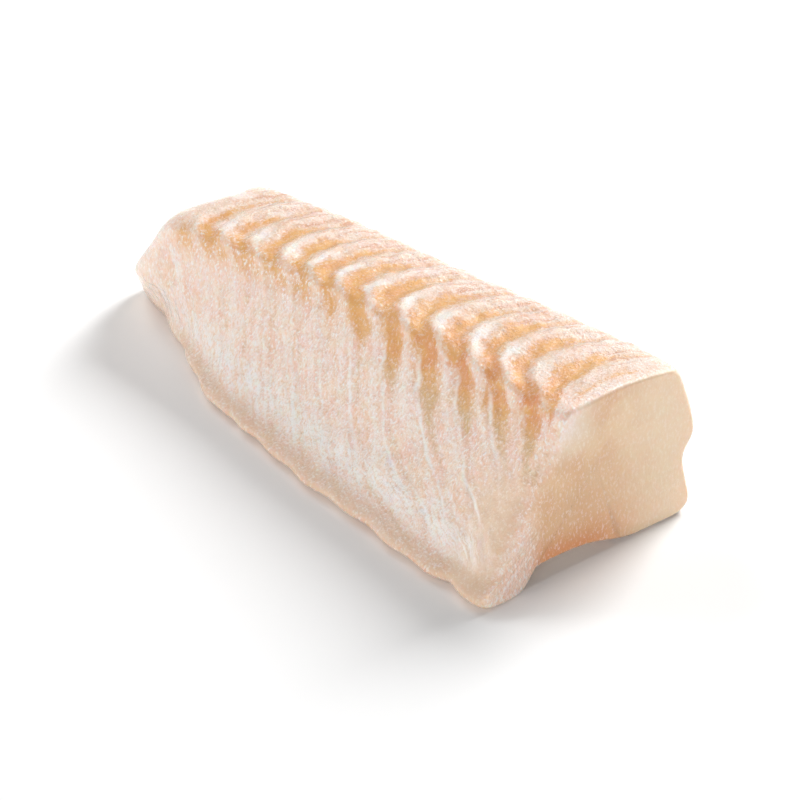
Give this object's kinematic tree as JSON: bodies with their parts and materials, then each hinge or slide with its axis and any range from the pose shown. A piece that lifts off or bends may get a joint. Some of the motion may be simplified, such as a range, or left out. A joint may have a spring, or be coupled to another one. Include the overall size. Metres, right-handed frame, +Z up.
{
  "type": "salted cod loin",
  "caption": "Thick skinless loin of salted cod, soaked and ready to cook, tapering to the tail, with raised flakes on top and a flared front side, lying flat.",
  "frame": {"origin": "the middle of the footprint, on the surface that the loin rests on", "axes": "+X along the loin from the thin tail end to the thick head end, +Y from the flared front side to the upright back side, +Z up"},
  "size_m": [0.1836, 0.075, 0.0469],
  "materials": {
    "fish_flesh": "moist, slightly see-through, pale cream with tan bands"
  },
  "bodies": {
    "root": {"cod_loin": "fish_flesh"}
  },
  "joints": []
}
